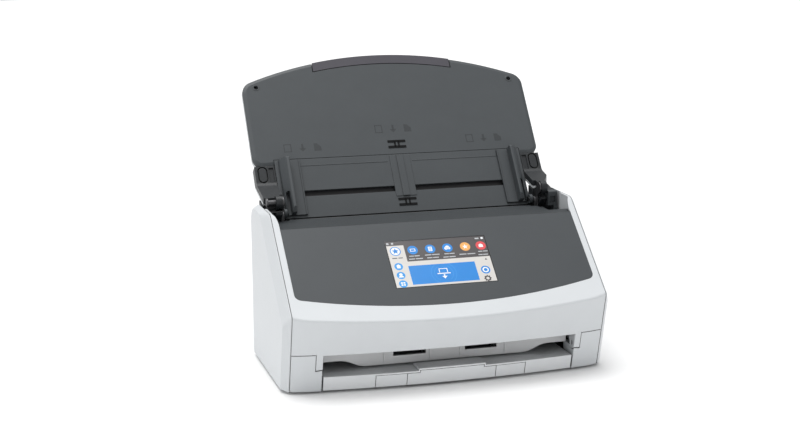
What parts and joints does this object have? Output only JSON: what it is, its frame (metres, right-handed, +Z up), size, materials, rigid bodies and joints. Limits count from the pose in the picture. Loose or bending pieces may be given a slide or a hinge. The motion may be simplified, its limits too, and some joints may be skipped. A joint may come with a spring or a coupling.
{
  "type": "sheet fed document scanner",
  "caption": "Sheet fed document scanner with a folding input chute, sliding side guides, a touch screen on a sloping panel and nested slide-out stacker trays.",
  "frame": {"origin": "middle of the opened scanner's floor area, on the surface it stands on", "axes": "+X to the scanner's right as seen from the front, +Y to its rear, +Z up"},
  "size_m": [0.2972, 0.2509, 0.2667],
  "materials": {
    "white_plastic": "fine satin texture",
    "panel_plastic": "dark grey, fine texture",
    "deck_plastic": "darker grey, fine texture",
    "chute_plastic": "dark grey, fine texture",
    "arm_plastic": "dark grey",
    "grey_plastic": "light grey",
    "tray_plastic": "white, satin",
    "black_plastic": "black",
    "inner_plastic": "dark grey, dull",
    "foot_rubber": "dull",
    "roller_rubber": "dull",
    "steel": "satin",
    "sheet_steel": "zinc plated",
    "screen_glass": "glossy screen cover",
    "scan_glass": "clear",
    "board": "green circuit board",
    "chip": "black",
    "motor_metal": "satin black"
  },
  "bodies": {
    "base": {"base_pan": "grey_plastic", "rubber_feet": "foot_rubber", "left_side_cover": "white_plastic", "right_side_cover": "white_plastic", "rear_cover": "white_plastic", "left_front_post": "white_plastic", "right_front_post": "white_plastic", "cover_hinge_pins": "steel", "lower_guide": "inner_plastic", "exit_guide": "grey_plastic", "left_frame": "sheet_steel", "right_frame": "sheet_steel", "roller_bearings": "grey_plastic", "hinge_brackets": "sheet_steel", "hinge_housings": "arm_plastic", "lower_scan_unit": "black_plastic", "lower_scan_glass": "scan_glass", "main_board": "board", "board_parts": "chip", "power_inlet": "black_plastic", "data_socket": "sheet_steel", "motor": "motor_metal", "drive_belts": "foot_rubber", "case_screws": "steel"},
    "motor_rotor": {"motor_pulley": "steel"},
    "pick_roller": {"pick_shaft": "steel", "pick_tyres": "roller_rubber"},
    "feed_roller": {"feed_shaft": "steel", "feed_tyres": "roller_rubber"},
    "exit_roller": {"exit_shaft": "steel", "exit_tyres": "roller_rubber"},
    "front_cover": {"front_cover_shell": "white_plastic", "control_panel": "panel_plastic", "feed_deck": "deck_plastic", "touch_glass": "screen_glass", "display_module": "black_plastic", "upper_guide": "inner_plastic", "upper_scan_unit": "black_plastic", "upper_scan_glass": "scan_glass", "lever_pin": "steel"},
    "cover_lever_body": {"cover_lever": "arm_plastic"},
    "brake_roller": {"brake_shaft": "steel", "brake_tyres": "roller_rubber"},
    "pinch_roller": {"pinch_shaft": "steel", "pinch_tyres": "roller_rubber"},
    "chute_cover": {"chute_shell": "white_plastic", "chute_panel": "chute_plastic", "left_hinge_arm": "arm_plastic", "right_hinge_arm": "arm_plastic"},
    "extension": {"chute_extension": "chute_plastic"},
    "folding_chute": {"lower_chute": "chute_plastic", "chute_back_plate": "black_plastic"},
    "right_guide": {"right_side_guide": "arm_plastic"},
    "left_guide": {"left_side_guide": "arm_plastic"},
    "pinion": {"guide_pinion": "grey_plastic"},
    "outer_tray": {"stacker_tray": "tray_plastic"},
    "middle_tray": {"stacker_middle": "tray_plastic"},
    "tip_tray": {"stacker_tip": "tray_plastic"}
  },
  "joints": [
    {"name": "feed_roller_spin", "type": "hinge", "parent": "base", "child": "feed_roller", "pos_m": [0, 0.00199, 0.0948], "axis": [1, 0, 0], "continuous": true},
    {"name": "motor_spin", "type": "hinge", "parent": "base", "child": "motor_rotor", "pos_m": [0, -0.00199, 0.044], "axis": [1, 0, 0], "continuous": true},
    {"name": "pick_roller_spin", "type": "hinge", "parent": "base", "child": "pick_roller", "pos_m": [0, 0.01494, 0.11384], "axis": [1, 0, 0], "continuous": true},
    {"name": "exit_roller_spin", "type": "hinge", "parent": "base", "child": "exit_roller", "pos_m": [0, -0.07133, 0.02725], "axis": [1, 0, 0], "continuous": true},
    {"name": "front_cover_hinge", "type": "hinge", "parent": "base", "child": "front_cover", "pos_m": [0, -0.10399, 0.026], "axis": [-1, 0, 0], "range_deg": [-50, 0]},
    {"name": "cover_lever_pull", "type": "hinge", "parent": "front_cover", "child": "cover_lever_body", "pos_m": [0.139, 0.00001, 0.119], "axis": [1, 0, 0], "range_deg": [0, 13], "stiffness_Nm_per_rad": 0.02},
    {"name": "brake_roller_spin", "type": "hinge", "parent": "front_cover", "child": "brake_roller", "pos_m": [0, -0.01348, 0.10633], "axis": [1, 0, 0], "continuous": true},
    {"name": "pinch_roller_spin", "type": "hinge", "parent": "front_cover", "child": "pinch_roller", "pos_m": [0, -0.07455, 0.04015], "axis": [1, 0, 0], "continuous": true},
    {"name": "chute_cover_hinge", "type": "hinge", "parent": "base", "child": "chute_cover", "pos_m": [0, 0.00301, 0.148], "axis": [1, 0, 0], "range_deg": [0, 167.2]},
    {"name": "folding_chute_hinge", "type": "hinge", "parent": "base", "child": "folding_chute", "pos_m": [0, 0.01304, 0.13539], "axis": [1, 0, 0], "range_deg": [0, 123.01]},
    {"name": "extension_slide", "type": "slide", "parent": "chute_cover", "child": "extension", "axis": [0, -0.5976, -0.8018], "range_m": [-0.058, 0]},
    {"name": "right_guide_slide", "type": "slide", "parent": "folding_chute", "child": "right_guide", "axis": [-1, 0, 0], "range_m": [0, 0.083]},
    {"name": "left_guide_slide", "type": "slide", "parent": "folding_chute", "child": "left_guide", "axis": [1, 0, 0], "range_m": [0, 0.083]},
    {"name": "guide_pinion_spin", "type": "hinge", "parent": "folding_chute", "child": "pinion", "pos_m": [0, 0.03316, 0.14765], "axis": [0, -0.8018, 0.5976], "range_deg": [0, 952]},
    {"name": "outer_tray_slide", "type": "slide", "parent": "base", "child": "outer_tray", "axis": [0, 1, 0], "range_m": [-0.075, 0]},
    {"name": "middle_tray_slide", "type": "slide", "parent": "outer_tray", "child": "middle_tray", "axis": [0, 1, 0], "range_m": [-0.07, 0]},
    {"name": "tip_tray_slide", "type": "slide", "parent": "middle_tray", "child": "tip_tray", "axis": [0, 1, 0], "range_m": [-0.065, 0]}
  ],
  "couplings": [
    {"joint": "motor_spin", "follows": "feed_roller_spin", "ratio": 1},
    {"joint": "pick_roller_spin", "follows": "feed_roller_spin", "ratio": 1},
    {"joint": "exit_roller_spin", "follows": "feed_roller_spin", "ratio": 1},
    {"joint": "folding_chute_hinge", "follows": "chute_cover_hinge", "ratio": 0.7357},
    {"joint": "left_guide_slide", "follows": "right_guide_slide", "ratio": 1},
    {"joint": "guide_pinion_spin", "follows": "right_guide_slide", "rad_per_m": 200}
  ]
}
